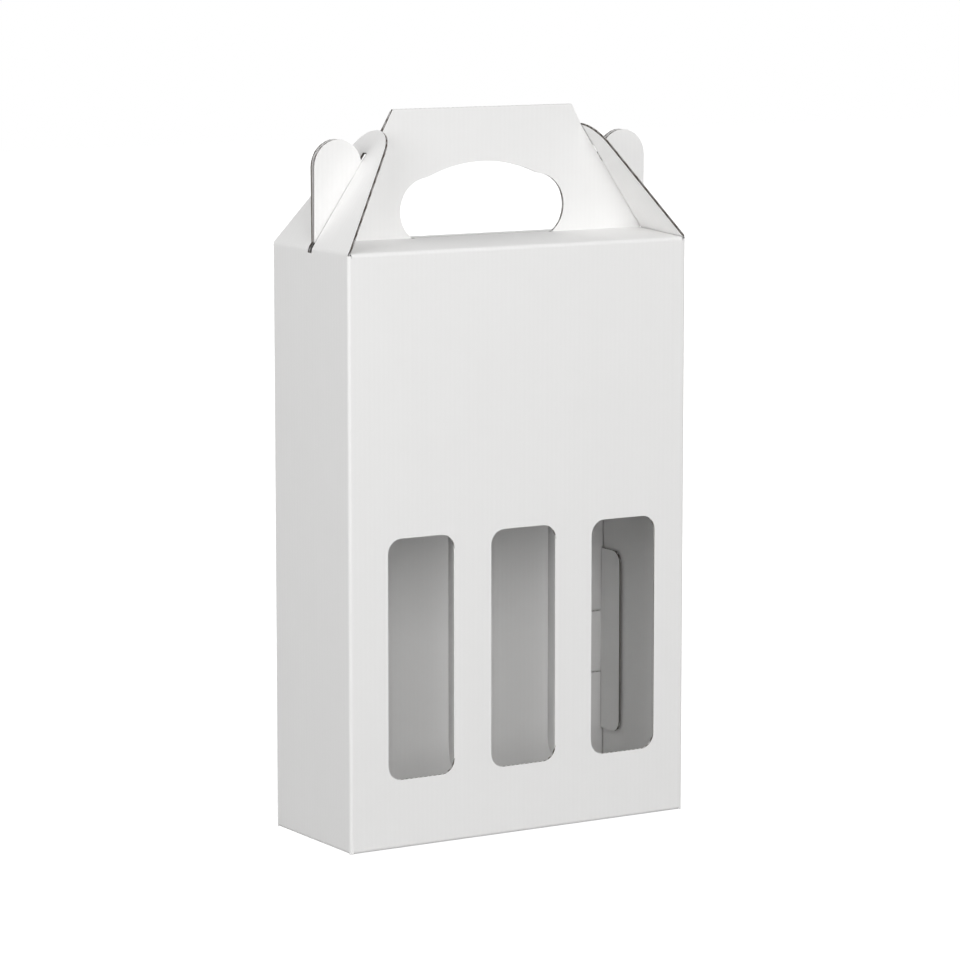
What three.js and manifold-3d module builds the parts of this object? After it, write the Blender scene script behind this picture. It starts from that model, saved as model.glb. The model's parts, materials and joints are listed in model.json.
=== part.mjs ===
// Gable box: a carrier for three bottles, folded from one die-cut blank of white micro-flute board.
// Millimetres, +Z up, front at -Y, origin at the middle of the base.
// Every panel and flap between two creases of the blank is a piece of its own.

import * as THREE from "three";
import { mergeVertices } from "three/addons/utils/BufferGeometryUtils.js";
import Module from "manifold-3d";

const wasm = await Module();
wasm.setup();

// Body and board
const BODY_WIDTH = 234;
const BODY_DEPTH = 90;
const BODY_HEIGHT = 352;
const BOARD = 1.6;
const CREASE_GAP = 0.3; // clear line between two panels that share a crease
const CUT_GAP = 0.4; // knife line round a flap that is cut out of a panel
const ARC_STEPS = 16; // facets in each arc of an outline

// Windows in the front panel
const WINDOW_COUNT = 3;
const WINDOW_WIDTH = 45.4;
const WINDOW_HEIGHT = 143.4;
const WINDOW_SILL = 41.1;
const WINDOW_RADIUS = 9;
const WINDOW_PITCH = 70.7;
const WINDOW_SHIFT = 2.1; // the row of windows sits this far right of the middle
const DIVIDER_NAMES = ["left_divider_flap", "middle_divider_flap"];
const DIVIDER_FOLD = THREE.MathUtils.degToRad(117); // inward turn of a divider out of its window
const DIVIDER_FOLD_INSET = 0.6; // fold line inside the window's right edge
const DIVIDER_PRESS_WIDTH = 3.4; // board that is pressed flat beside the fold line

// Closure: two roof panels rise to the ridge, and a handle ply stands on each
const ROOF_TILT = THREE.MathUtils.degToRad(4.2);
const PLY_GAP = 0.3; // between the two handle plies at the ridge
const PLY_SPREAD = THREE.MathUtils.degToRad(0.6); // each ply leans out this far from upright
const HANDLE_HEIGHT = 77.7; // above the ridge fold, as are all heights on the handle
const HANDLE_TOP_WIDTH = 124.7;
const HANDLE_SHOULDER_HEIGHT = 65.7; // the handle's ends are steeper above the end flaps' tips
const REAR_PLY_TRIM = 1.2; // the rear ply is cut back round the handle so that the front ply hides it
const HAND_LOBE_RADIUS = 19.5;
const HAND_LOBE_X = 37.6;
const HAND_LOBE_Z = 17.5;
const HAND_HUMP_TOP = 45.4;
const HAND_HUMP_RADIUS = 92;
const HAND_FILLET_RADIUS = 25; // between the hump and a lobe
const HAND_FOOT_STEP = 0.6; // height of the inner end of a ply's foot on the ridge fold
const EAR_CENTRE_HEIGHT = 45.6;
const EAR_INSET = 2; // ear's outer edge inside the side panel's outer face
const EAR_SLIT = 1; // width of the slit between an ear and the handle
const EAR_SLIT_DEPTH = 3; // slit floor below the ear's centre

// End flaps: they lean in on the handle's slanted ends, and the ears pass out through their slits
const FLAP_LEAN = THREE.MathUtils.degToRad(34.3); // from upright
const FLAP_LENGTH = 81.7;
const FLAP_TOP_RADIUS = 21.5;
const FLAP_REST_GAP = 0.3; // between a flap and the handle's slanted end
const FLAP_SLIT_PLAY = 1.55; // each side of the two plies at the ridge
const FLAP_SLIT_LIFT = 4.3; // slit's end beyond the ear's reach from the crease
const FLAP_SLIT_FOOT = 2.4; // the slit runs this far down into the side panel

// Glueless seam in the rear right corner
const SEAM_FLAP_WIDTH = 26;
const SEAM_END_GAP = 14; // seam flap's ends from the body's top and bottom
const LOCK_HEAD_BOTTOM = 36.5;
const LOCK_HEAD_HEIGHT = 114.5;
const LOCK_HEAD_WIDTH = 21.3;
const LOCK_HEAD_RADIUS = 8; // of the head's two free corners
const LOCK_NECK_RISE = 36.5; // neck's lower edge above the head's
const LOCK_NECK_HEIGHT = 38;
const LOCK_NECK_LENGTH = 10;
const LOCK_NECK_PLAY = 0.9; // above and below the neck in its cut-out

// Snap-lock bottom, in layers from the outside in: front flap, side flaps, rear flap, tongue
const LAYER_GAP = 0.1;
const FRONT_FLAP_REACH = 58;
const FRONT_FLAP_TAPER = 14;
const SIDE_FLAP_REACH = 70;
const SIDE_FLAP_TAPER = 18;
const REAR_FLAP_REACH = 50;
const REAR_FLAP_TAPER = 10;
const TONGUE_WIDTH = 60;
const TONGUE_REACH = 16;
const TONGUE_CLEARANCE = 1; // tongue to the notch in the rear flap

// Places that follow from the sizes above
const halfWidth = BODY_WIDTH / 2;
const halfDepth = BODY_DEPTH / 2;
const innerHalfWidth = halfWidth - BOARD;
const innerHalfDepth = halfDepth - BOARD;
const frontWallTop = BODY_HEIGHT - BOARD - CREASE_GAP; // under the roof's crease
const sideWallTop = BODY_HEIGHT - BOARD * Math.sin(FLAP_LEAN) - CREASE_GAP; // under the flap's crease

// The handle's crease is on the underside of the ridge: this far along the roof, and this far up.
const ridgeReach = (halfDepth - PLY_GAP / 2 - BOARD * Math.sin(ROOF_TILT)) / Math.cos(ROOF_TILT);
const ridgeTop = ridgeReach * Math.sin(ROOF_TILT);
const ridgeLift = ridgeTop - BOARD * Math.cos(ROOF_TILT);

// Sideways place of the handle's slanted end, which is parallel to the leaning flap.
function slantedEnd(height) {
  const run = (height + ridgeLift) * Math.sin(FLAP_LEAN) + BOARD + FLAP_REST_GAP;
  return halfWidth - run / Math.cos(FLAP_LEAN);
}

// Inner end of a ply's foot, where the hand hole's lobe comes down to the ridge.
function handFoot(trim) {
  return HAND_LOBE_X + Math.sqrt((HAND_LOBE_RADIUS + trim) ** 2 - (HAND_LOBE_Z - HAND_FOOT_STEP) ** 2);
}

// An ear fills the width between its outer edge and the slit.
const earOuter = halfWidth - EAR_INSET;
const earInner = slantedEnd(EAR_CENTRE_HEIGHT) + EAR_SLIT;
const earRadius = (earOuter - earInner) / 2;
const earX = (earOuter + earInner) / 2;
const earReach = Math.hypot(halfWidth - earX, EAR_CENTRE_HEIGHT + ridgeLift) + earRadius;
const slitHalf = PLY_GAP / 2 + BOARD + FLAP_SLIT_PLAY;
const slitEnd = earReach + FLAP_SLIT_LIFT;

const X = new THREE.Vector3(1, 0, 0);
const Y = new THREE.Vector3(0, 1, 0);
const Z = new THREE.Vector3(0, 0, 1);
const minusX = X.clone().negate();
const minusY = Y.clone().negate();

const box = new THREE.Group();

// Plate of one board thickness behind the sketch plane, which is the board's outer face.
function boardGeometry(outline) {
  const geometry = new THREE.ExtrudeGeometry(outline, { depth: BOARD, bevelEnabled: false });
  return geometry.translate(0, 0, -BOARD);
}

// Names a piece and puts its sketch plane through origin, spanned by across and up.
function addPiece(name, geometry, origin, across, up) {
  const white = new THREE.MeshStandardMaterial({ color: 0xf0efec, roughness: 0.62, metalness: 0 });
  const mesh = new THREE.Mesh(geometry, white);
  mesh.name = name;
  const outward = new THREE.Vector3().crossVectors(across, up);
  mesh.quaternion.setFromRotationMatrix(new THREE.Matrix4().makeBasis(across, up, outward));
  mesh.position.copy(origin);
  box.add(mesh);
}

function addBoard(name, outline, origin, across, up) {
  addPiece(name, boardGeometry(outline), origin, across, up);
}

function polygon(points) {
  return new THREE.Shape(points.map(([x, y]) => new THREE.Vector2(x, y)));
}

// Points of an arc, both ends included.
function arc(x, y, radius, from, to) {
  return Array.from({ length: ARC_STEPS + 1 }, (_, step) => {
    const angle = from + ((to - from) * step) / ARC_STEPS;
    return [x + radius * Math.cos(angle), y + radius * Math.sin(angle)];
  });
}

function mirrored(points) {
  return points.map(([x, y]) => [-x, y]).reverse();
}

function rectangle(left, bottom, right, top) {
  return polygon([
    [left, bottom],
    [right, bottom],
    [right, top],
    [left, top],
  ]);
}

function roundedRectangle(left, bottom, right, top, radius) {
  const quarter = Math.PI / 2;
  return polygon([
    ...arc(right - radius, bottom + radius, radius, -quarter, 0),
    ...arc(right - radius, top - radius, radius, 0, quarter),
    ...arc(left + radius, top - radius, radius, quarter, 2 * quarter),
    ...arc(left + radius, bottom + radius, radius, 2 * quarter, 3 * quarter),
  ]);
}

function blockGeometry(low, high) {
  const size = high.map((value, axis) => value - low[axis]);
  const middle = high.map((value, axis) => (value + low[axis]) / 2);
  return new THREE.BoxGeometry(...size).translate(...middle);
}

function toSolid(geometry) {
  const bare = geometry.clone();
  bare.deleteAttribute("normal");
  bare.deleteAttribute("uv");
  const merged = mergeVertices(bare);
  const mesh = new wasm.Mesh({
    numProp: 3,
    vertProperties: merged.attributes.position.array,
    triVerts: new Uint32Array(merged.index.array),
  });
  return new wasm.Manifold(mesh);
}

function joinGeometries(geometries) {
  const [first, ...rest] = geometries.map(toSolid);
  const mesh = rest.reduce((joined, next) => joined.add(next), first).getMesh();
  const geometry = new THREE.BufferGeometry();
  geometry.setAttribute("position", new THREE.BufferAttribute(mesh.vertProperties, 3));
  geometry.setIndex(new THREE.BufferAttribute(mesh.triVerts, 1));
  geometry.computeVertexNormals();
  return geometry;
}

// Body walls: the front and rear panels span the full width, and the sides stand between them.
function windowCentre(index) {
  return WINDOW_SHIFT + (index - (WINDOW_COUNT - 1) / 2) * WINDOW_PITCH;
}

function addFrontPanel() {
  const outline = rectangle(-halfWidth, 0, halfWidth, frontWallTop);
  for (let index = 0; index < WINDOW_COUNT; index++) {
    const left = windowCentre(index) - WINDOW_WIDTH / 2;
    const right = left + WINDOW_WIDTH;
    const top = WINDOW_SILL + WINDOW_HEIGHT;
    outline.holes.push(roundedRectangle(left, WINDOW_SILL, right, top, WINDOW_RADIUS));
  }
  addBoard("front_panel", outline, new THREE.Vector3(0, -halfDepth, 0), X, Z);
}

function addRearPanel() {
  const outline = rectangle(-halfWidth, 0, halfWidth, frontWallTop);
  addBoard("rear_panel", outline, new THREE.Vector3(0, halfDepth, 0), minusX, Z);
}

// The foot of the end flap's slit runs down into the side panel.
function addSidePanel(name, side, across) {
  const slitFoot = BODY_HEIGHT - FLAP_SLIT_FOOT;
  const outline = polygon([
    [-innerHalfDepth, 0],
    [innerHalfDepth, 0],
    [innerHalfDepth, sideWallTop],
    [slitHalf, sideWallTop],
    [slitHalf, slitFoot],
    [-slitHalf, slitFoot],
    [-slitHalf, sideWallTop],
    [-innerHalfDepth, sideWallTop],
  ]);
  addBoard(name, outline, new THREE.Vector3(side * halfWidth, 0, 0), across, Z);
}

// The cut-out of a window stays on its right edge and is folded in between two bottles. Its board is pressed
// flat beside the fold, so it turns on its outer face, and its full thickness starts past that strip.
function addDivider(name, index) {
  const left = CUT_GAP - WINDOW_WIDTH + DIVIDER_FOLD_INSET + WINDOW_RADIUS;
  const right = DIVIDER_FOLD_INSET - CUT_GAP - WINDOW_RADIUS;
  const bottom = WINDOW_SILL + CUT_GAP + WINDOW_RADIUS;
  const top = WINDOW_SILL + WINDOW_HEIGHT - CUT_GAP - WINDOW_RADIUS;
  const quarter = Math.PI / 2;
  const pressed = Math.acos((-DIVIDER_PRESS_WIDTH - right) / WINDOW_RADIUS);
  const outline = polygon([
    ...arc(right, bottom, WINDOW_RADIUS, -quarter, -pressed),
    ...arc(right, top, WINDOW_RADIUS, pressed, quarter),
    ...arc(left, top, WINDOW_RADIUS, quarter, 2 * quarter),
    ...arc(left, bottom, WINDOW_RADIUS, 2 * quarter, 3 * quarter),
  ]);
  const across = X.clone().applyAxisAngle(Z, -DIVIDER_FOLD);
  const foldX = windowCentre(index) + WINDOW_WIDTH / 2 - DIVIDER_FOLD_INSET;
  addBoard(name, outline, new THREE.Vector3(foldX, -halfDepth, 0), across, Z);
}

// A roof panel's ends follow the leaning end flaps. Between the feet of its ply it reaches the ridge fold.
function addRoofPanel(name, side, across, trim) {
  const lowHalf = halfWidth - (BOARD + CREASE_GAP) / Math.cos(FLAP_LEAN);
  const highHalf = lowHalf - ridgeTop * Math.tan(FLAP_LEAN);
  const footEdge = ridgeReach - BOARD - CREASE_GAP;
  const ridgeEdge = ridgeReach - CREASE_GAP / 2;
  const holeHalf = handFoot(trim) - CUT_GAP;
  const outline = polygon([
    [-lowHalf, 0],
    [lowHalf, 0],
    [highHalf, footEdge],
    [holeHalf, footEdge],
    [holeHalf, ridgeEdge],
    [-holeHalf, ridgeEdge],
    [-holeHalf, footEdge],
    [-highHalf, footEdge],
  ]);
  const uphill = new THREE.Vector3(0, -side * Math.cos(ROOF_TILT), Math.sin(ROOF_TILT));
  addBoard(name, outline, new THREE.Vector3(0, side * halfDepth, BODY_HEIGHT), across, uphill);
}

// Right half of the hand hole, from the top of its hump through a fillet and the side lobe to the foot.
function handHoleHalf(trim) {
  const footX = handFoot(trim);
  const humpRadius = HAND_HUMP_RADIUS + trim;
  const lobeRadius = HAND_LOBE_RADIUS + trim;
  const filletRadius = HAND_FILLET_RADIUS - trim;
  const humpZ = HAND_HUMP_TOP - HAND_HUMP_RADIUS;
  const rise = HAND_LOBE_Z - humpZ;
  const span = Math.hypot(HAND_LOBE_X, rise);
  const toHump = humpRadius + filletRadius;
  const toLobe = lobeRadius + filletRadius;
  const bend = Math.acos((span ** 2 + toHump ** 2 - toLobe ** 2) / (2 * span * toHump));
  const humpEnd = Math.atan2(rise, HAND_LOBE_X) + bend;
  const filletX = toHump * Math.cos(humpEnd);
  const filletZ = humpZ + toHump * Math.sin(humpEnd);
  const lobeStart = Math.atan2(filletZ - HAND_LOBE_Z, filletX - HAND_LOBE_X);
  const lobeEnd = -Math.acos((footX - HAND_LOBE_X) / lobeRadius);
  return [
    ...arc(0, humpZ, humpRadius, Math.PI / 2, humpEnd),
    ...arc(filletX, filletZ, filletRadius, humpEnd - Math.PI, lobeStart - Math.PI).slice(1, -1),
    ...arc(HAND_LOBE_X, HAND_LOBE_Z, lobeRadius, lobeStart, lobeEnd),
    [footX, 0],
  ];
}

// The ply's two feet stand on the ridge fold, and the hand hole between them is open down to it.
function handleOutline(trim) {
  const slitFloor = EAR_CENTRE_HEIGHT - EAR_SLIT_DEPTH;
  const slitX = slantedEnd(slitFloor);
  const outside = [
    [earOuter, 0],
    ...arc(earX, EAR_CENTRE_HEIGHT, earRadius, 0, Math.PI),
    [slitX + EAR_SLIT, slitFloor],
    [slitX, slitFloor],
    [slantedEnd(HANDLE_SHOULDER_HEIGHT) - trim, HANDLE_SHOULDER_HEIGHT],
    [HANDLE_TOP_WIDTH / 2 - trim, HANDLE_HEIGHT - trim],
  ];
  const hole = handHoleHalf(trim);
  return polygon([...outside, ...mirrored(outside), ...mirrored(hole), ...hole.slice(1)]);
}

// A ply turns out by its spread round the crease, which is the lower edge of its inner face.
function addHandlePly(name, side, across, trim) {
  const up = new THREE.Vector3(0, side * Math.sin(PLY_SPREAD), Math.cos(PLY_SPREAD));
  const outward = new THREE.Vector3().crossVectors(across, up);
  const crease = new THREE.Vector3(0, (side * PLY_GAP) / 2, BODY_HEIGHT + ridgeLift);
  addBoard(name, handleOutline(trim), crease.addScaledVector(outward, BOARD), across, up);
}

// The flap's sides run straight from the crease's ends into the round top, which they touch tangentially.
function flapOutline() {
  const topCentre = FLAP_LENGTH - FLAP_TOP_RADIUS;
  const toCorner = Math.atan2(-topCentre, halfDepth);
  const touch = toCorner + Math.acos(FLAP_TOP_RADIUS / Math.hypot(topCentre, halfDepth));
  return polygon([
    [slitHalf, 0],
    [halfDepth, 0],
    ...arc(0, topCentre, FLAP_TOP_RADIUS, touch, Math.PI - touch),
    [-halfDepth, 0],
    [-slitHalf, 0],
    [-slitHalf, slitEnd],
    [slitHalf, slitEnd],
  ]);
}

function addEndFlap(name, side, across) {
  const uphill = new THREE.Vector3(-side * Math.sin(FLAP_LEAN), 0, Math.cos(FLAP_LEAN));
  const origin = new THREE.Vector3(side * halfWidth, 0, BODY_HEIGHT);
  addBoard(name, flapOutline(), origin, across, uphill);
}

// Seam: the right panel's seam flap lies inside the rear panel and is cut out for the lock tab's neck.
const neckBottom = LOCK_HEAD_BOTTOM + LOCK_NECK_RISE;
const neckTop = neckBottom + LOCK_NECK_HEIGHT;

function addSeamFlap() {
  const crease = CREASE_GAP - innerHalfWidth;
  const free = crease + SEAM_FLAP_WIDTH;
  const notch = LOCK_NECK_LENGTH + CUT_GAP - innerHalfWidth;
  const outline = polygon([
    [crease, SEAM_END_GAP],
    [free, SEAM_END_GAP],
    [free, BODY_HEIGHT - SEAM_END_GAP],
    [crease, BODY_HEIGHT - SEAM_END_GAP],
    [crease, neckTop + LOCK_NECK_PLAY],
    [notch, neckTop + LOCK_NECK_PLAY],
    [notch, neckBottom - LOCK_NECK_PLAY],
    [crease, neckBottom - LOCK_NECK_PLAY],
  ]);
  addBoard("seam_flap", outline, new THREE.Vector3(0, innerHalfDepth, 0), minusX, Z);
}

// The rear panel's lock tab: the neck goes through the cut-out, and the head lies on the right panel.
function addSeamLockTab() {
  const headRear = innerHalfDepth - BOARD - CUT_GAP;
  const headTop = LOCK_HEAD_BOTTOM + LOCK_HEAD_HEIGHT;
  const head = roundedRectangle(
    headRear - LOCK_HEAD_WIDTH,
    LOCK_HEAD_BOTTOM,
    headRear,
    headTop,
    LOCK_HEAD_RADIUS,
  );
  const squareRear = rectangle(headRear - LOCK_HEAD_RADIUS, LOCK_HEAD_BOTTOM, headRear, headTop);
  const bend = rectangle(headRear - LOCK_HEAD_RADIUS, neckBottom, innerHalfDepth, neckTop);
  const neck = blockGeometry(
    [innerHalfDepth - BOARD, neckBottom, -LOCK_NECK_LENGTH],
    [innerHalfDepth, neckTop, 0],
  );
  const plates = [head, squareRear, bend].map((outline) => boardGeometry(outline));
  const geometry = joinGeometries([...plates, neck]);
  addPiece("seam_lock_tab", geometry, new THREE.Vector3(innerHalfWidth, 0, 0), Y, Z);
}

// Bottom flaps lie inside the walls, each on its own layer.
const layerStep = BOARD + LAYER_GAP;
const bottomHalfWidth = innerHalfWidth - CREASE_GAP;
const bottomHalfDepth = innerHalfDepth - CREASE_GAP;
const tongueRoot = FRONT_FLAP_REACH - bottomHalfDepth;

// Lays a flap on its layer; the sketch is seen from above.
function addBottomFlap(name, outline, layer) {
  addBoard(name, outline, new THREE.Vector3(0, 0, layer * layerStep + BOARD), X, Y);
}

function addSideBottomFlap(name, side) {
  const free = side * (bottomHalfWidth - SIDE_FLAP_REACH);
  const outline = polygon([
    [side * bottomHalfWidth, -bottomHalfDepth],
    [side * bottomHalfWidth, bottomHalfDepth],
    [free, bottomHalfDepth - SIDE_FLAP_TAPER],
    [free, SIDE_FLAP_TAPER - bottomHalfDepth],
  ]);
  addBottomFlap(name, outline, 1);
}

function addRearBottomFlap() {
  const free = bottomHalfDepth - REAR_FLAP_REACH;
  const notchHalf = TONGUE_WIDTH / 2 + TONGUE_CLEARANCE;
  const notchEnd = tongueRoot + TONGUE_CLEARANCE;
  const outline = polygon([
    [-bottomHalfWidth, bottomHalfDepth],
    [REAR_FLAP_TAPER - bottomHalfWidth, free],
    [-notchHalf, free],
    [-notchHalf, notchEnd],
    [notchHalf, notchEnd],
    [notchHalf, free],
    [bottomHalfWidth - REAR_FLAP_TAPER, free],
    [bottomHalfWidth, bottomHalfDepth],
  ]);
  addBottomFlap("rear_bottom_flap", outline, 2);
}

// The front flap closes last: its tongue steps up through the rear flap's notch and lies on that flap.
function addFrontBottomFlap() {
  const outline = polygon([
    [-bottomHalfWidth, -bottomHalfDepth],
    [bottomHalfWidth, -bottomHalfDepth],
    [bottomHalfWidth - FRONT_FLAP_TAPER, tongueRoot],
    [FRONT_FLAP_TAPER - bottomHalfWidth, tongueRoot],
  ]);
  const half = TONGUE_WIDTH / 2;
  const tongueLow = 3 * layerStep;
  const tongueHigh = tongueLow + BOARD;
  const plate = boardGeometry(outline).translate(0, 0, BOARD);
  const step = blockGeometry([-half, tongueRoot - BOARD, 0], [half, tongueRoot, tongueHigh]);
  const tongue = blockGeometry(
    [-half, tongueRoot - BOARD, tongueLow],
    [half, tongueRoot + TONGUE_REACH, tongueHigh],
  );
  const geometry = joinGeometries([plate, step, tongue]);
  addPiece("front_bottom_flap", geometry, new THREE.Vector3(0, 0, 0), X, Y);
}

addFrontPanel();
addRearPanel();
addSidePanel("left_side_panel", -1, minusY);
addSidePanel("right_side_panel", 1, Y);
DIVIDER_NAMES.forEach(addDivider);
addRoofPanel("front_roof_panel", -1, X, 0);
addRoofPanel("rear_roof_panel", 1, minusX, REAR_PLY_TRIM);
addHandlePly("front_handle_ply", -1, X, 0);
addHandlePly("rear_handle_ply", 1, minusX, REAR_PLY_TRIM);
addEndFlap("left_end_flap", -1, minusY);
addEndFlap("right_end_flap", 1, Y);
addSeamFlap();
addSeamLockTab();
addFrontBottomFlap();
addSideBottomFlap("left_bottom_flap", -1);
addSideBottomFlap("right_bottom_flap", 1);
addRearBottomFlap();

export default box;
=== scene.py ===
# %% [markdown]
# # A gable box for three bottles
# The real box is folded from one die-cut sheet of white micro-flute board: two thin paper liners
# with a wavy paper glued between them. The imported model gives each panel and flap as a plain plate
# at its real place. This lesson dresses those plates as real board, with liners, flutes and rounded
# creases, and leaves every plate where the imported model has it.

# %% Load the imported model
import json
import math

import bmesh
import bpy
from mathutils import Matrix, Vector


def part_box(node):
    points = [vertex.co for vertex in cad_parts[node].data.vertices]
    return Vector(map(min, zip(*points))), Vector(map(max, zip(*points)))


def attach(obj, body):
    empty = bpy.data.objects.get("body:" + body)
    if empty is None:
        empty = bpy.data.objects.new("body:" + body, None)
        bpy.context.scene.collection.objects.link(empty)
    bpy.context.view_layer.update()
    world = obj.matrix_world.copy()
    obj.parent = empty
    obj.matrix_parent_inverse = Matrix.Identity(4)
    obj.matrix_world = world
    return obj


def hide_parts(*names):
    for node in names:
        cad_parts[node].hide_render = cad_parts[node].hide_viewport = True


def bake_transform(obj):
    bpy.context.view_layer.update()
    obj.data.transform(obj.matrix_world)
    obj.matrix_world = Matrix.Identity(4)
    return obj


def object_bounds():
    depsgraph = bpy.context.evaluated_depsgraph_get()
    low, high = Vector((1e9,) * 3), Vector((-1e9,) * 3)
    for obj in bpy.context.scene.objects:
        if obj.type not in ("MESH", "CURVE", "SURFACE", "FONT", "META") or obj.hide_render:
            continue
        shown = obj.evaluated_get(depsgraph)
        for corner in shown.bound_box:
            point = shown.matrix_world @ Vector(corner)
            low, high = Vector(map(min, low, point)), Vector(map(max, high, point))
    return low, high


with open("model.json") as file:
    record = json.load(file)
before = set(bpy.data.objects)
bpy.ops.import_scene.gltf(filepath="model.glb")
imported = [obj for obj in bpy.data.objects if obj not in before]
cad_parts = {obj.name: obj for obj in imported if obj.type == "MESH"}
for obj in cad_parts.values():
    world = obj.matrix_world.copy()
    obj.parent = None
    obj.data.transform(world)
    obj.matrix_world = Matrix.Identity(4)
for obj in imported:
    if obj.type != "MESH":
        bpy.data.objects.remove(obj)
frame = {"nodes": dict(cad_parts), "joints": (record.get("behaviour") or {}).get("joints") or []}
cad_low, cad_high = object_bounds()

scene = bpy.context.scene
cad_size = [round(side, 4) for side in cad_high - cad_low]
print("packed model:", len(frame["nodes"]), "plates,", cad_size, "m")

# %% [markdown]
# ## Sizes
# All sizes are metres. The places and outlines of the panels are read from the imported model, so
# that the dressing follows if the box is resized. What the plain plates cannot show is given here:
# the make-up of the board and the radius of its creases. Micro-flute board has a wave every three
# millimetres or so.

# %% Sizes from the frame, and the make-up of the board
X, Y, Z = Vector((1, 0, 0)), Vector((0, 1, 0)), Vector((0, 0, 1))

front_low, front_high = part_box("front_panel")
BOARD = front_high.y - front_low.y
HALF_WIDTH = front_high.x
HALF_DEPTH = -front_low.y
joints = {joint["name"]: joint for joint in frame["joints"]}
FOLD_HEIGHT = joints["front_roof_fold"]["pos_m"][2]

LINER = 0.00024
MEDIUM = 0.00014
FLUTE_PITCH = 0.0032
FLUTE_STEPS = 6
CREASE_RADIUS = 0.0004
CREASE_STEPS = 12
MERGE_DISTANCE = 1e-6
NEAR = 1e-5
MARGIN = 0.001

print("board", round(BOARD * 1000, 2), "mm thick, fold height", round(FOLD_HEIGHT * 1000, 1), "mm")

# %% [markdown]
# ## Camera
# The photograph was taken from the front left with a long lens, a little above the box. Its angle
# and distance were worked out from the corners of the box in the picture, so the camera is set
# straight from those values instead of being moved by eye. The image is square, so the sensor's
# width counts for both sides.

# %% Camera
CAMERA_TARGET = Vector((-0.0008, 0, 0.2074))
CAMERA_YAW = math.radians(31.575)
CAMERA_ELEVATION = math.radians(8.162)
CAMERA_DISTANCE = 2.472
CAMERA_LENS = 154.2
CAMERA_SENSOR = 36

camera = bpy.data.objects.new("camera", bpy.data.cameras.new("camera"))
camera.data.lens = CAMERA_LENS
camera.data.sensor_width = CAMERA_SENSOR
backward = Vector((
    -math.sin(CAMERA_YAW) * math.cos(CAMERA_ELEVATION),
    -math.cos(CAMERA_YAW) * math.cos(CAMERA_ELEVATION),
    math.sin(CAMERA_ELEVATION),
))
camera.location = CAMERA_TARGET + backward * CAMERA_DISTANCE
camera.rotation_euler = (-backward).to_track_quat("-Z", "Y").to_euler()
scene.collection.objects.link(camera)
scene.camera = camera
print("camera at", [round(value, 3) for value in camera.location])

# %% [markdown]
# ## Shader sums as Python
# A node tree is easier to read as arithmetic. This class wraps one socket: adding or multiplying
# wrapped sockets adds the Math nodes, and `node` adds any other node.

# %% A socket that can be calculated with
# The Mix node has its colour sockets at these numbers.
MIX_FIRST, MIX_SECOND = 6, 7
MIX_COLOUR = 2


class Socket:
    def __init__(self, tree, socket=None):
        self.tree = tree
        self.socket = socket

    def node(self, kind, settings=None, inputs=None, output=0):
        made = self.tree.nodes.new("ShaderNode" + kind)
        for name, value in (settings or {}).items():
            setattr(made, name, value)
        for name, value in (inputs or {}).items():
            if isinstance(value, Socket):
                self.tree.links.new(value.socket, made.inputs[name])
            else:
                made.inputs[name].default_value = value
        return Socket(self.tree, made.outputs[output] if made.outputs else None)

    def math(self, operation, first, second):
        return self.node("Math", {"operation": operation}, {0: first, 1: second})

    def __add__(self, other):
        return self.math("ADD", self, other)

    def __radd__(self, other):
        return self.math("ADD", other, self)

    def __mul__(self, other):
        return self.math("MULTIPLY", self, other)


def new_tree(owner):
    owner.use_nodes = True
    owner.node_tree.nodes.clear()
    return Socket(owner.node_tree)


def mixed(factor, first, second):
    inputs = {"Factor": factor, MIX_FIRST: first, MIX_SECOND: second}
    return factor.node("Mix", {"data_type": "RGBA"}, inputs, output=MIX_COLOUR)


print("socket arithmetic ready")

# %% [markdown]
# ## White liner
# The outside and the inside of the box are the same white paper. Looked at closely it is not one
# flat white: the liner ripples over the flutes, and the faint stripes of shade on that ripple are
# painted into the colour as painted shade, besides the bump that shapes them; the paper has a cloudy
# formation, and fine fibres run along the flutes. The stripes follow the board and not the room, so
# the pattern reads a UV map that is laid on every board in metres, with U across the flutes and V
# along them.

# %% White liner material
UV_NAME = "flutes"
LINER_WHITE = (0.885, 0.882, 0.876, 1)
LINER_SHADE = (0.842, 0.838, 0.831, 1)
WASHBOARD_HEIGHT = 0.000018
FIBRE_HEIGHT = 0.000006
NOISE_ROUGHNESS = 0.6

# Each noise has a scale per metre, a detail, and a stretch that draws it out along the flutes.
CLOUD = (26, 3, (1, 1, 1))
STREAK = (300, 2, (1, 0.03, 1))
FIBRE = (1500, 3, (1, 0.22, 1))

# Shares of the noises in the paper's tone, in its roughness and in the depth of the stripes.
# The stripes' share of the tone is painted shade of the liner's ripple over the flutes.
STRIPE_PAINTED_SHADE, CLOUD_TONE, STREAK_TONE, FIBRE_TONE = 0.25, 0.35, 0.25, 0.15
LINER_ROUGHNESS, FIBRE_ROUGHNESS, CLOUD_ROUGHNESS = 0.5, 0.16, 0.08
STRIPE_LEAST, STRIPE_CLOUD = 0.35, 0.9
LINER_SPECULAR = 0.35


def noise(start, vector, scale, detail, stretch):
    placed = start.node("Mapping", {}, {"Vector": vector, "Scale": stretch})
    sockets = {"Vector": placed, "Scale": scale, "Detail": detail, "Roughness": NOISE_ROUGHNESS}
    return start.node("TexNoise", {"noise_dimensions": "2D"}, sockets)


def stripes(start, board):
    across = start.node("SeparateXYZ", {}, {"Vector": board})
    phase = across * (2 * math.pi / FLUTE_PITCH)
    return start.node("Math", {"operation": "SINE"}, {0: phase}) * 0.5 + 0.5


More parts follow.
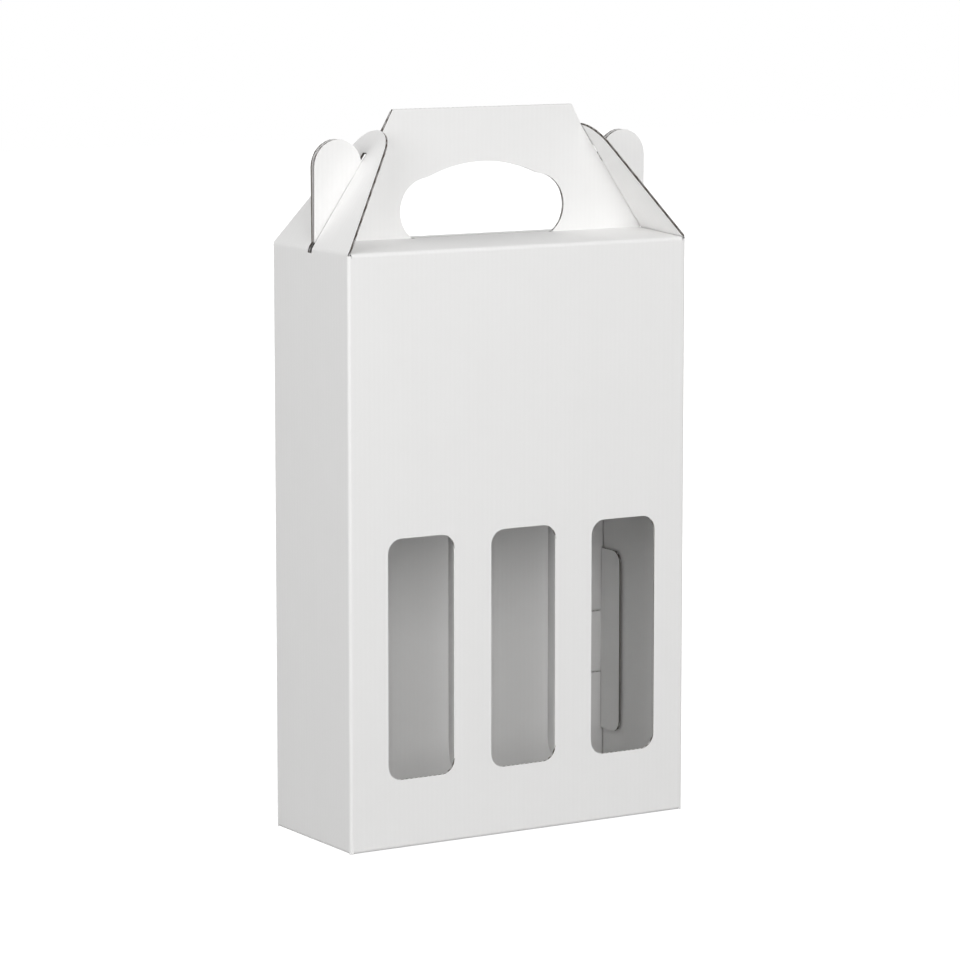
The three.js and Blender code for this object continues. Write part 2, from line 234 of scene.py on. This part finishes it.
def white_liner():
    material = bpy.data.materials.new("white_liner")
    start = new_tree(material)
    board = start.node("UVMap", {"uv_map": UV_NAME})
    cloud, streak, fibre = [noise(start, board, *kind) for kind in (CLOUD, STREAK, FIBRE)]

    # The ripple's stripes go into the tone as painted shade, and into the height as a bump.
    washboard = stripes(start, board) * (STRIPE_LEAST + cloud * STRIPE_CLOUD)
    tone = washboard * STRIPE_PAINTED_SHADE + cloud * CLOUD_TONE + streak * STREAK_TONE + fibre * FIBRE_TONE
    height = washboard * WASHBOARD_HEIGHT + (fibre + streak) * FIBRE_HEIGHT
    inputs = {
        "Base Color": mixed(tone, LINER_SHADE, LINER_WHITE),
        "Roughness": LINER_ROUGHNESS + fibre * FIBRE_ROUGHNESS + cloud * CLOUD_ROUGHNESS,
        "Normal": start.node("Bump", {}, {"Height": height, "Distance": 1.0, "Strength": 1.0}),
        "Specular IOR Level": LINER_SPECULAR,
    }
    shader = start.node("BsdfPrincipled", {}, inputs)
    start.node("OutputMaterial", {}, {"Surface": shader})
    return material


liner_material = white_liner()
print("made", liner_material.name)

# %% [markdown]
# ## Flute paper and cut paper, with painted shade
# The wavy paper inside the board is unbleached and grey brown. It only shows at cut edges, where the
# hollow flutes make the dark lines that outline the handle, the flaps and the windows; its colour is
# painted far darker than the paper, as painted shade of those hollows. The liners are white on their
# faces alone; their cut edges get a lighter grey of the same make, partly their core, partly painted
# shade.

# %% Flute paper and cut paper materials, darkened with painted shade
# The flute paper's colours are painted far darker than the paper, as painted shade of the hollow
# flutes.
FLUTE_PAINTED_SHADE_DARK = (0.105, 0.092, 0.084, 1)
FLUTE_PAINTED_SHADE_LIGHT = (0.195, 0.172, 0.155, 1)
# The cut paper's colours are partly the liners' grey core, partly painted shade that darkens the cut
# edges.
CUT_CORE_AND_SHADE_DARK = (0.32, 0.3, 0.285, 1)
CUT_CORE_AND_SHADE_LIGHT = (0.46, 0.435, 0.415, 1)
RAW_FIBRE = (1400, 3, (1, 0.3, 1))
RAW_SPECK = (260, 2, (1, 1, 1))
RAW_FIBRE_TONE, RAW_SPECK_TONE = 0.6, 0.4
RAW_ROUGHNESS, RAW_FIBRE_ROUGHNESS = 0.75, 0.15
RAW_SPECULAR = 0.2


# Makes a raw paper whose two colours, dark and light, are darkened with painted shade.
def paper_and_painted_shade(name, dark, light):
    material = bpy.data.materials.new(name)
    start = new_tree(material)
    board = start.node("UVMap", {"uv_map": UV_NAME})
    fibre = noise(start, board, *RAW_FIBRE)
    speck = noise(start, board, *RAW_SPECK)
    inputs = {
        "Base Color": mixed(fibre * RAW_FIBRE_TONE + speck * RAW_SPECK_TONE, dark, light),
        "Roughness": RAW_ROUGHNESS + fibre * RAW_FIBRE_ROUGHNESS,
        "Specular IOR Level": RAW_SPECULAR,
    }
    shader = start.node("BsdfPrincipled", {}, inputs)
    start.node("OutputMaterial", {}, {"Surface": shader})
    return material


# The flute paper is darkened as painted shade of the hollow flutes.
flute_shade_material = paper_and_painted_shade("flute_paper_painted_shade", FLUTE_PAINTED_SHADE_DARK, FLUTE_PAINTED_SHADE_LIGHT)
# The cut paper is grey partly from the liners' core and partly as painted shade of the outlines.
cut_core_and_shade_material = paper_and_painted_shade("cut_paper_and_painted_shade", CUT_CORE_AND_SHADE_DARK, CUT_CORE_AND_SHADE_LIGHT)
LINER_SLOT, FLUTE_SLOT, CUT_SLOT = range(3)
print("made", flute_shade_material.name, "and", cut_core_and_shade_material.name)

# %% [markdown]
# ## Board from a plate
# A board is three layers: the outer liner, the wave and the inner liner. The outline is already in
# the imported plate, so the outer face of a merged copy of the plate is the pattern for all three.
# Where a crease begins, the pattern is trimmed back, because the crease gets a rounded strip of its
# own. The wave is made by slicing the pattern across the flutes in narrow steps, lifting the slices
# to a cosine and giving the sheet its thickness.

# %% Tools for flat patterns
# Least cosines between a face's normal and a direction: to look that way, and to lie square to it.
FACING_LEAST = 0.5
FLAT_LEAST = 0.999
FACE_DEPTH = BOARD / 10


def everything(shape):
    return shape.verts[:] + shape.edges[:] + shape.faces[:]


def only(kind, items):
    return [item for item in items if isinstance(item, kind)]


def plate_normal(node, facing):
    plate = frame["nodes"][node].data
    looking = [face for face in plate.polygons if face.normal.dot(facing) > FACING_LEAST]
    return max(looking, key=lambda face: face.area).normal.copy()


def plate_pattern(node, outward):
    pattern = bmesh.new()
    pattern.from_mesh(frame["nodes"][node].data)
    bmesh.ops.remove_doubles(pattern, verts=pattern.verts, dist=MERGE_DISTANCE)
    pattern.normal_update()
    outer = max(vert.co.dot(outward) for vert in pattern.verts)

    def elsewhere(face):
        depth = outer - face.calc_center_median().dot(outward)
        return face.normal.dot(outward) < FLAT_LEAST or depth > FACE_DEPTH

    others = [face for face in pattern.faces if elsewhere(face)]
    bmesh.ops.delete(pattern, geom=others, context="FACES")
    return pattern


def slice_at(pattern, point, direction, drop=False):
    bmesh.ops.bisect_plane(
        pattern, geom=everything(pattern), dist=MERGE_DISTANCE,
        plane_co=point, plane_no=direction, clear_outer=drop,
    )


def cut_out(pattern, low, high):
    for axis, unit in enumerate((X, Y, Z)):
        for edge in (low, high):
            slice_at(pattern, unit * edge[axis], unit)

    def inside(face):
        middle = face.calc_center_median()
        return all(low[axis] < middle[axis] < high[axis] for axis in range(3))

    removed = [face for face in pattern.faces if inside(face)]
    bmesh.ops.delete(pattern, geom=removed, context="FACES")


def thicken(sheet, push):
    grown = bmesh.ops.extrude_face_region(sheet, geom=sheet.faces[:])["geom"]
    bmesh.ops.translate(sheet, verts=only(bmesh.types.BMVert, grown), vec=push)
    bmesh.ops.recalc_face_normals(sheet, faces=sheet.faces[:])


def move_into(target, layer):
    carrier = bpy.data.meshes.new("layer")
    layer.to_mesh(carrier)
    layer.free()
    target.from_mesh(carrier)
    bpy.data.meshes.remove(carrier)


print("pattern tools ready")

# %% A finished piece, with its materials and smooth bends
SMOOTH_ANGLE = math.radians(40)


def lay_uv(layer, across, up):
    uv = layer.loops.layers.uv.verify()
    for face in layer.faces:
        for loop in face.loops:
            loop[uv].uv = (loop.vert.co.dot(across), loop.vert.co.dot(up))


def finish_piece(name, shape):
    mesh = bpy.data.meshes.new(name)
    shape.to_mesh(mesh)
    shape.free()
    mesh.uv_layers[0].name = UV_NAME
    for material in (liner_material, flute_shade_material, cut_core_and_shade_material):
        mesh.materials.append(material)
    mesh.polygons.foreach_set("use_smooth", [True] * len(mesh.polygons))
    mesh.set_sharp_from_angle(angle=SMOOTH_ANGLE)
    piece = bpy.data.objects.new(name, mesh)
    scene.collection.objects.link(piece)
    return piece


print("finishing tools ready")

# %% Liners and flutes of one board
def add_liners(board, pattern, outward, across, up):
    for depth in (0, BOARD - LINER):
        liner = pattern.copy()
        bmesh.ops.translate(liner, verts=liner.verts, vec=-outward * depth)
        thicken(liner, -outward * LINER)
        for face in liner.faces:
            flat = abs(face.normal.dot(outward)) >= FACING_LEAST
            # Cut edges get the cut paper: partly the liner's grey core, partly painted shade.
            face.material_index = LINER_SLOT if flat else CUT_SLOT
        lay_uv(liner, across, up)
        move_into(board, liner)


def add_flutes(board, pattern, outward, across, up):
    wave = pattern.copy()
    places = [vert.co.dot(across) for vert in wave.verts]
    step = FLUTE_PITCH / FLUTE_STEPS
    for index in range(math.ceil(min(places) / step), math.ceil(max(places) / step)):
        slice_at(wave, across * (index * step), across)
    swing = (BOARD - 2 * LINER - MEDIUM) / 2
    for vert in wave.verts:
        turn = 2 * math.pi * vert.co.dot(across) / FLUTE_PITCH
        vert.co -= outward * (LINER + swing * (1 - math.cos(turn)))
    thicken(wave, -outward * MEDIUM)
    for face in wave.faces:
        # The wave gets the flute paper, whose dark colour is painted shade of the hollows.
        face.material_index = FLUTE_SLOT
    lay_uv(wave, across, up)
    move_into(board, wave)


def add_board(board, node, facing, up, trims=(), cut_outs=(), reshape=None):
    outward = plate_normal(node, facing)
    upward = (up - outward * up.dot(outward)).normalized()
    across = upward.cross(outward)
    pattern = plate_pattern(node, outward)
    for point, direction in trims:
        slice_at(pattern, point, direction, drop=True)
    for low, high in cut_outs:
        cut_out(pattern, low, high)
    if reshape:
        reshape(pattern, upward)
    add_liners(board, pattern, outward, across, upward)
    add_flutes(board, pattern, outward, across, upward)
    pattern.free()


def dress_plate(node, board, body):
    piece = finish_piece(node + "_board", board)
    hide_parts(node)
    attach(piece, body)
    print(piece.name, len(piece.data.polygons), "faces")


def plain_board(node, body, facing, up, **shaping):
    board = bmesh.new()
    add_board(board, node, facing, up, **shaping)
    dress_plate(node, board, body)


print("board tools ready")

# %% [markdown]
# ## Creases
# Board is folded along a pressed line, where the flutes are crushed and both liners bend. Each
# liner is made as a short edge that is spun round the centre of its bend and then drawn along the
# fold. A divider's fold is pressed so hard that both liners lie on each other there, so it is one
# thin strip that bends sharply and runs on flat to where the full board starts. A crease that stays
# folded rides on the body. A crease that moves is made one layer at a time, as strips at its rest
# angle.

# %% A rounded fold between two boards
PRESSED = 0.0003
RUN_STEPS = 4
BOARD_LAYERS = {"outer": (0, LINER), "inner": (BOARD - LINER, LINER)}
SCORED_LAYERS = {"outer": (0, LINER)}
PRESSED_LAYERS = {"pressed": (0, PRESSED)}


class Crease:
    """Corner is the sharp line where the outer faces would meet; a leg points along each board."""

    def __init__(self, corner, leg_a, leg_b, radius=CREASE_RADIUS, layers=BOARD_LAYERS, run=0):
        self.leg_a, self.leg_b = leg_a.normalized(), leg_b.normalized()
        overlap = self.leg_a.dot(self.leg_b)
        self.normal_a = (self.leg_a * overlap - self.leg_b).normalized()
        self.normal_b = (self.leg_b * overlap - self.leg_a).normalized()
        self.turn = self.normal_a.angle(self.normal_b)
        self.axis = self.normal_a.cross(self.normal_b).normalized()
        self.along = Vector([abs(round(part)) for part in self.axis])
        self.corner = Vector(corner)
        self.layers = layers
        self.radius = radius + max(depth + thickness for depth, thickness in layers.values())
        self.reach = self.radius * math.tan(self.turn / 2)
        self.run = run

    def trim_a(self):
        return self.corner + self.leg_a * self.reach, -self.leg_a

    def trim_b(self):
        return self.corner + self.leg_b * (self.reach + self.run), -self.leg_b

    def section(self, strip, layer, shift):
        depth, thickness = self.layers[layer]
        tangent = self.trim_a()[0] + shift
        levels = (depth, depth + thickness)
        ends = [strip.verts.new(tangent - self.normal_a * level) for level in levels]
        edge = strip.edges.new(ends)
        bent = bmesh.ops.spin(
            strip, geom=[*ends, edge], axis=self.axis, angle=self.turn, steps=CREASE_STEPS,
            cent=tangent - self.normal_a * self.radius, use_duplicate=False,
        )
        if self.run:
            self.draw_on(strip, only(bmesh.types.BMEdge, bent["geom_last"]))

    def draw_on(self, strip, last):
        for _ in range(RUN_STEPS):
            drawn = bmesh.ops.extrude_edge_only(strip, edges=last)["geom"]
            moved = only(bmesh.types.BMVert, drawn)
            bmesh.ops.translate(strip, verts=moved, vec=self.leg_b * (self.run / RUN_STEPS))
            last = [edge for edge in strip.edges if all(vert in moved for vert in edge.verts)]

    def strips(self, layer, spans, up):
        strips = bmesh.new()
        for low, high in spans:
            strip = bmesh.new()
            self.section(strip, layer, self.along * (low - self.corner.dot(self.along)))
            thicken(strip, self.along * (high - low))
            lay_uv(strip, up.cross(self.normal_a).normalized(), up)
            move_into(strips, strip)
        return strips


def fixed_crease(name, crease, spans, up=Z):
    both = bmesh.new()
    for layer in crease.layers:
        move_into(both, crease.strips(layer, spans, up))
    piece = finish_piece(name, both)
    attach(piece, "body")
    print(name, "turns", round(math.degrees(crease.turn), 1), "degrees")


def moving_crease(name, crease, spans, body_a, body_b, up=Z, reshape=None):
    for layer, (depth, thickness) in crease.layers.items():
        strips = crease.strips(layer, spans, up)
        if reshape:
            reshape(strips)
        piece = finish_piece(f"{name}_{layer}", strips)
        hollow = depth + thickness
        start = crease.trim_a()[0] - crease.normal_a * hollow
        end = crease.trim_b()[0] - crease.normal_b * hollow
        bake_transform(piece)
    print(name, "turns", round(math.degrees(crease.turn), 1), "degrees at rest")


print("crease tools ready")

# %% [markdown]
# ## Folds of the box
# Every fold is named before the boards are made, because the boards are trimmed to the folds. Three
# corners of the body are plain creases. In the fourth, at the rear right, the sheet's two ends
# meet: the right wall turns into a seam flap inside the rear wall, and the rear wall ends in an
# open cut edge. The seam's crease is cut through on its inside, so only the outer liner bends, and
# the cut shows as a dark line in the corner. The neck of the lock tab and the cut-out that it
# passes are measured on their plates.

# %% Folds of the body
seam_low, seam_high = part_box("seam_flap")
lock_low, lock_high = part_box("seam_lock_tab")
SCORED_RADIUS = CREASE_RADIUS + BOARD - LINER


def height_span(node, wanted):
    heights = [vert.co.z for vert in frame["nodes"][node].data.vertices if wanted(vert.co)]
    return min(heights), max(heights)


front_left = Crease((-HALF_WIDTH, -HALF_DEPTH, 0), X, Y)
front_right = Crease((HALF_WIDTH, -HALF_DEPTH, 0), -X, Y)
rear_left = Crease((-HALF_WIDTH, HALF_DEPTH, 0), X, -Y)
seam = Crease((HALF_WIDTH, HALF_DEPTH - BOARD, 0), -Y, -X, SCORED_RADIUS, SCORED_LAYERS)
lock = Crease((HALF_WIDTH - BOARD, HALF_DEPTH - BOARD, 0), -Y, -X)

front_foot = Crease((0, -HALF_DEPTH, 0), Z, Y)
rear_foot = Crease((0, HALF_DEPTH, 0), Z, -Y)
left_foot = Crease((-HALF_WIDTH, 0, 0), Z, X)
right_foot = Crease((HALF_WIDTH, 0, 0), Z, -X)

neck_span = height_span("seam_lock_tab", lambda place: place.x < lock_high.x - BOARD - MARGIN)
notch_low, notch_high = seam_low.z + MARGIN, seam_high.z - MARGIN
notch_span = height_span("seam_flap", lambda place: notch_low < place.z < notch_high)
seam_spans = [(seam_low.z, notch_span[0]), (notch_span[1], seam_high.z)]
print("corner creases start", round(front_left.reach * 1000, 2), "mm from the corner")

# %% Folds of the closure and the dividers
ROOF_RADIUS = 0.001
RIDGE_RADIUS = 0.0006
FLAP_RADIUS = 0.0025
FOLD_INSET = 0.0006


def uphill(node, facing):
    outward = plate_normal(node, facing)
    return (Z - outward * outward.z).normalized()


def joint_place(name):
    return Vector(joints[name]["pos_m"])


def divider_crease(node, joint):
    outward = plate_normal(node, -X)
    inward = outward.cross(Z)
    fold = joint_place(joint)
    bend = FOLD_INSET / math.tan(outward.angle(-Y) / 2)
    board_start = min((vert.co - fold).dot(inward) for vert in frame["nodes"][node].data.vertices)
    return Crease(fold, X, inward, bend - PRESSED, PRESSED_LAYERS, board_start - FOLD_INSET)


front_slope, rear_slope = uphill("front_roof_panel", Z), uphill("rear_roof_panel", Z)
front_rise, rear_rise = uphill("front_handle_ply", -Y), uphill("rear_handle_ply", Y)
left_slope, right_slope = uphill("left_end_flap", -X), uphill("right_end_flap", X)
front_roof = Crease(joint_place("front_roof_fold"), -Z, front_slope, ROOF_RADIUS)
rear_roof = Crease(joint_place("rear_roof_fold"), -Z, rear_slope, ROOF_RADIUS)
front_ridge = Crease(joint_place("front_handle_fold"), -front_slope, front_rise, RIDGE_RADIUS)
rear_ridge = Crease(joint_place("rear_handle_fold"), -rear_slope, rear_rise, RIDGE_RADIUS)
left_flap = Crease(joint_place("left_flap_fold"), -Z, left_slope, FLAP_RADIUS)
right_flap = Crease(joint_place("right_flap_fold"), -Z, right_slope, FLAP_RADIUS)
left_divider = divider_crease("left_divider_flap", "left_divider_fold")
middle_divider = divider_crease("middle_divider_flap", "middle_divider_fold")
print("roof slope", round(math.degrees(math.asin(front_slope.z)), 2), "degrees")

# %% [markdown]
# ## Body walls
# Four walls stand round the bottles. The front wall has three tall windows. Each wall is trimmed
# where a crease begins. The end flaps' slits run a little way down into the side walls.

# %% Body walls
SLIT_HALF = 0.00235


def plate_slit_half():
    plate = frame["nodes"]["left_end_flap"].data
    return min(abs(vert.co.y) for vert in plate.vertices if vert.co.z < FOLD_HEIGHT + MARGIN)


PLATE_SLIT = plate_slit_half()


def narrow_slit(pattern, upward):
    for vert in pattern.verts:
        if abs(abs(vert.co.y) - PLATE_SLIT) < NEAR:
            vert.co.y = math.copysign(SLIT_HALF, vert.co.y)


plain_board(
    "front_panel", "body", -Y, Z,
    trims=[front_left.trim_a(), front_right.trim_a(), front_foot.trim_a(), front_roof.trim_a()],
)
plain_board(
    "rear_panel", "body", Y, Z,
    trims=[rear_left.trim_a(), rear_foot.trim_a(), rear_roof.trim_a()],
)
plain_board(
    "left_side_panel", "body", -X, Z,
    trims=[front_left.trim_b(), rear_left.trim_b(), left_foot.trim_a(), left_flap.trim_a()],
    reshape=narrow_slit,
)
seam_edge = seam.trim_a()[0].y
seam_cuts = [
    (Vector((0, seam_edge, low)), Vector((HALF_WIDTH + MARGIN, HALF_DEPTH, high)))
    for low, high in seam_spans
]
plain_board(
    "right_side_panel", "body", X, Z,
    trims=[front_right.trim_b(), right_foot.trim_a(), right_flap.trim_a()],
    cut_outs=seam_cuts,
    reshape=narrow_slit,
)

# %% Creases of the body
corner_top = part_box("left_side_panel")[1].z
corner_span = [(0, corner_top)]
wide_span = [(front_left.trim_a()[0].x, front_right.trim_a()[0].x)]
deep_span = [(front_left.trim_b()[0].y, rear_left.trim_b()[0].y)]

fixed_crease("front_left_crease", front_left, corner_span)
fixed_crease("front_right_crease", front_right, corner_span)
fixed_crease("rear_left_crease", rear_left, corner_span)
fixed_crease("front_bottom_crease", front_foot, wide_span)
fixed_crease("rear_bottom_crease", rear_foot, wide_span)
fixed_crease("left_bottom_crease", left_foot, deep_span)
fixed_crease("right_bottom_crease", right_foot, deep_span)

# %% [markdown]
# ## Dividers
# The left and middle window cut-outs are folded in between the bottles. Each is a plain board with
# round corners, folded in on the crease at its window's right edge. The crease is as long as the
# straight part of that edge, and beside it the pressed strip widens along the cut-out's round
# corners until it meets the board.

# %% Dividers
WINDOW_CORNER = 0.009
KNIFE_GAP = 0.0004
CREASE_END = 0.0085


def round_ends(strips, crease, low, high):
    for vert in strips.verts:
        away = (vert.co - crease.corner).dot(crease.leg_b)
        if away > crease.reach + MERGE_DISTANCE:
            to_centre = WINDOW_CORNER - (away + FOLD_INSET - KNIFE_GAP)
            inset = WINDOW_CORNER - math.sqrt(WINDOW_CORNER ** 2 - to_centre ** 2)
            vert.co.z = low + inset if vert.co.z < (low + high) / 2 else high - inset


for side, crease in (("left", left_divider), ("middle", middle_divider)):
    node = side + "_divider_flap"
    low, high = (place.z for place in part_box(node))
    spans = [(low + CREASE_END, high - CREASE_END)]
    plain_board(node, side + "_divider", -X, Z)
    moving_crease(
        side + "_divider_crease", crease, spans, "body", side + "_divider",
        reshape=lambda strips: round_ends(strips, crease, low, high),
    )

# %% [markdown]
# ## Roof and handle
# Each roof panel rises to the ridge and turns up there into one ply of the handle. The hand hole is
# open down to the ridge, so the ridge crease runs only under the ply's two feet, and between them
# the roof ends in a cut edge. The feet's inner ends are measured on the trimmed ply, their outer
# ends on the roof.

# %% Roof and handle
ROOF_END = 0.0024
ON_CUT = MERGE_DISTANCE * 2

# A cut reaches this many times as far as the plate's end, so that it takes in all of it.
BEYOND = 2


def foot_spans(ply, facing, crease, roof):
    pattern = plate_pattern(ply, plate_normal(ply, facing))
    point, direction = crease.trim_b()
    slice_at(pattern, point, direction, drop=True)
    places = [vert.co for vert in pattern.verts]
    inner = min(abs(place.x) for place in places if abs((place - point).dot(direction)) < ON_CUT)
    pattern.free()
    ridge_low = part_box(roof)[1].z - MARGIN
    corners = [vert.co for vert in frame["nodes"][roof].data.vertices]
    outer = max(place.x for place in corners if place.z > ridge_low)
    return [(-outer, -inner), (inner, outer)]


def foot_cut(crease, span):
    edges = sorted((crease.trim_a()[0].y, 0))
    low, high = sorted(span, key=abs)
    inner, outer = sorted((low, high * BEYOND))
    return Vector((inner, edges[0], 0)), Vector((outer, edges[1], FOLD_HEIGHT * BEYOND))


roof_span = [(-HALF_WIDTH + ROOF_END, HALF_WIDTH - ROOF_END)]
halves = (("front", -Y, front_roof, front_ridge), ("rear", Y, rear_roof, rear_ridge))
for side, facing, fold, ridge in halves:
    roof, ply = side + "_roof_panel", side + "_handle_ply"
    spans = foot_spans(ply, facing, ridge, roof)
    cuts = [foot_cut(ridge, span) for span in spans]
    plain_board(roof, side + "_roof", Z, Z, trims=[fold.trim_b()], cut_outs=cuts)
    plain_board(ply, side + "_handle", facing, Z, trims=[ridge.trim_b()])
    moving_crease(side + "_roof_crease", fold, roof_span, "body", side + "_roof")
    moving_crease(side + "_ridge_crease", ridge, spans, side + "_roof", side + "_handle", up=Y)

# %% [markdown]
# ## End flaps
# The end flaps lean in on the handle's slanted ends, and the handle's ears stick out through their
# slits. The paper gives when a flap is pulled off an ear, so the real slit is narrower and ends
# closer to the ear than the rigid plate's. Its sides are moved in and its end is moved down to
# where the photograph shows them.

# %% End flaps
SLIT_END_DROP = 0.0046


def close_slit(pattern, upward):
    narrow_slit(pattern, upward)
    within = [vert for vert in pattern.verts if abs(vert.co.y) < SLIT_HALF + MERGE_DISTANCE]
    sides = [vert for vert in within if abs(vert.co.y) > SLIT_HALF - MERGE_DISTANCE]
    slit_end = max(vert.co.dot(upward) for vert in sides)
    ends = [vert for vert in within if abs(vert.co.dot(upward) - slit_end) < NEAR]
    bmesh.ops.translate(pattern, verts=ends, vec=-upward * SLIT_END_DROP)


for side, facing, crease in (("left", -X, left_flap), ("right", X, right_flap)):
    node = side + "_end_flap"
    spans = [(-HALF_DEPTH + MARGIN, -SLIT_HALF), (SLIT_HALF, HALF_DEPTH - MARGIN)]
    plain_board(node, side + "_flap", facing, Z, trims=[crease.trim_b()], reshape=close_slit)
    moving_crease(side + "_flap_crease", crease, spans, "body", side + "_flap")

# %% [markdown]
# ## Seam
# The sheet closes without glue. The right wall's seam flap lies inside the rear wall, and a
# T-shaped tab of the rear wall passes through a cut-out in that flap and lies on the inside of the
# right wall. The tab is one board with a bend in it, so its head and neck are two boards in one
# piece, with a crease between them. The folded paper springs back a little, so the head's free edge
# stands off the wall.

# %% Seam flap and lock tab
HEAD_LIFT = 0.0005


def lift_head(pattern, upward):
    root, width = lock_high.y, lock_high.y - lock_low.y
    for vert in pattern.verts:
        vert.co.x -= HEAD_LIFT * (root - vert.co.y) / width


plain_board("seam_flap", "body", Y, Z, trims=[seam.trim_b()])
fixed_crease("seam_crease", seam, seam_spans)

tab = bmesh.new()
add_board(tab, "seam_lock_tab", X, Z, trims=[lock.trim_a()], reshape=lift_head)
add_board(tab, "seam_lock_tab", Y, Z, trims=[lock.trim_b()])
dress_plate("seam_lock_tab", tab, "body")
fixed_crease("lock_tab_crease", lock, [neck_span])

# %% [markdown]
# ## Bottom
# Four flaps close the bottom in layers. The front flap is outermost, and its tongue steps up
# through the notch in the rear flap. The tongue's riser is a narrow strip of board that stands
# between the two levels.

# %% Bottom flaps
TONGUE_EDGE = 0.0003
TONGUE_SEGMENTS = 2


def add_riser(board, low, high):
    riser = bmesh.new()
    bmesh.ops.create_cube(riser, size=1)
    bmesh.ops.scale(riser, verts=riser.verts, vec=high - low)
    bmesh.ops.translate(riser, verts=riser.verts, vec=(low + high) / 2)
    bmesh.ops.bevel(
        riser, geom=riser.edges[:], affect="EDGES", offset=TONGUE_EDGE,
        segments=TONGUE_SEGMENTS, profile=0.5, material=-1,
    )
    lay_uv(riser, X, Z)
    move_into(board, riser)


def tongue_box():
    plate = frame["nodes"]["front_bottom_flap"].data
    top = max(vert.co.z for vert in plate.vertices)
    raised = [vert.co for vert in plate.vertices if vert.co.z > top - MARGIN]
    low = Vector([min(place[axis] for place in raised) for axis in range(3)])
    high = Vector([max(place[axis] for place in raised) for axis in range(3)])
    return low, high


tongue_low, tongue_high = tongue_box()
riser_low = Vector((tongue_low.x, tongue_low.y, BOARD))
riser_high = Vector((tongue_high.x, tongue_low.y + BOARD, tongue_high.z - BOARD))
front_flap = bmesh.new()
add_board(front_flap, "front_bottom_flap", -Z, Y, trims=[front_foot.trim_b()])
add_board(front_flap, "front_bottom_flap", Z, Y)
add_riser(front_flap, riser_low, riser_high)
dress_plate("front_bottom_flap", front_flap, "body")

plain_board("rear_bottom_flap", "body", -Z, Y)
plain_board("left_bottom_flap", "body", -Z, X)
plain_board("right_bottom_flap", "body", -Z, X)

# %% [markdown]
# ## Floor, world and lights
# The box stands on a plain white ground. The camera sees the ground and the surroundings as white,
# while the lamps and a dim even world light the box, so that the white board keeps its shades. The
# ground still takes the soft shadow of the box. It lies a hair below the box's bottom, and it is
# clear from below, so that the bottom can be looked at too.

# %% Floor
FLOOR_HALF = 6
FLOOR_DROP = 0.0003
GLOW = 1.2
WHITE = (1, 1, 1, 1)
FLOOR_GREY = (0.4, 0.4, 0.4, 1)
FLOOR_SHADOW_SHARE = 0.1
SHADOW_INNER, SHADOW_OUTER = 0.2, 0.6
RAY_KINDS = ("Is Camera Ray", "Is Glossy Ray", "Is Transmission Ray")


def seen_directly(start):
    rays = [start.node("LightPath", {}, {}, output=name) for name in RAY_KINDS]
    return start.math("MAXIMUM", start.math("MAXIMUM", rays[0], rays[1]), rays[2])


def floor_finish():
    material = bpy.data.materials.new("white_ground")
    start = new_tree(material)
    lit = start.node("BsdfDiffuse", {}, {"Color": FLOOR_GREY})
    glow = start.node("Emission", {}, {"Color": WHITE, "Strength": GLOW})
    place = start.node("TexCoord", {}, {}, output="Object")
    away = start.node("VectorMath", {"operation": "LENGTH"}, {0: place}, output="Value")
    fade = {
        "Value": away,
        "From Min": SHADOW_INNER,
        "From Max": SHADOW_OUTER,
        "To Min": 1 - FLOOR_SHADOW_SHARE,
        "To Max": 1,
    }
    white = start.node("MapRange", {"interpolation_type": "SMOOTHSTEP"}, fade)
    top_side = start.node("MixShader", {}, {"Fac": seen_directly(start) * white, 1: lit, 2: glow})
    from_below = start.node("NewGeometry", {}, {}, output="Backfacing")
    clear = start.node("BsdfTransparent", {}, {})
    one_sided = start.node("MixShader", {}, {"Fac": from_below, 1: top_side, 2: clear})
    start.node("OutputMaterial", {}, {"Surface": one_sided})
    return material


ground = bmesh.new()
bmesh.ops.create_grid(ground, x_segments=1, y_segments=1, size=FLOOR_HALF)
bmesh.ops.translate(ground, verts=ground.verts, vec=-Z * FLOOR_DROP)
floor_mesh = bpy.data.meshes.new("floor")
ground.to_mesh(floor_mesh)
ground.free()
floor_mesh.materials.append(floor_finish())
floor = bpy.data.objects.new("floor", floor_mesh)
scene.collection.objects.link(floor)
print("floor", FLOOR_HALF * 2, "m wide")

# %% World and lamps
AMBIENT = 0.13

# Each lamp has its direction from the box, its distance and size in metres, and its power in watts.
LAMPS = {
    "front_lamp": (Vector((-0.06, -0.94, 0.3)), 2.2, (1.6, 2.0), 29.0),
    "left_lamp": (Vector((-0.9, -0.2, 0.3)), 1.8, (2.0, 1.2), 17.8),
    "right_lamp": (Vector((0.8, -0.55, 0.35)), 2.2, (2.0, 2.0), 5),
    "top_lamp": (Vector((-0.1, -0.15, 1)), 1.8, (2.0, 2.0), 9),
    "rear_lamp": (Vector((0.6, 0.75, 0)), 2.2, (2.0, 0.4), 24),
}

world = bpy.data.worlds.new("studio")
scene.world = world
start = new_tree(world)
direct = seen_directly(start)
strength = direct * (1 - AMBIENT) + AMBIENT
background = start.node("Background", {}, {"Color": WHITE, "Strength": strength})
start.node("OutputWorld", {}, {"Surface": background})


def soft_lamp(name, direction, distance, size, power):
    lamp = bpy.data.lights.new(name, "AREA")
    lamp.shape = "RECTANGLE"
    lamp.size, lamp.size_y = size
    lamp.energy = power
    holder = bpy.data.objects.new(name, lamp)
    aim = direction.normalized()
    holder.location = CAMERA_TARGET + aim * distance
    holder.rotation_euler = (-aim).to_track_quat("-Z", "Y").to_euler()
    scene.collection.objects.link(holder)
    print(name, power, "W at", [round(value, 2) for value in holder.location])


for name, (direction, distance, size, power) in LAMPS.items():
    soft_lamp(name, direction, distance, size, power)
scene.view_settings.view_transform = "Standard"
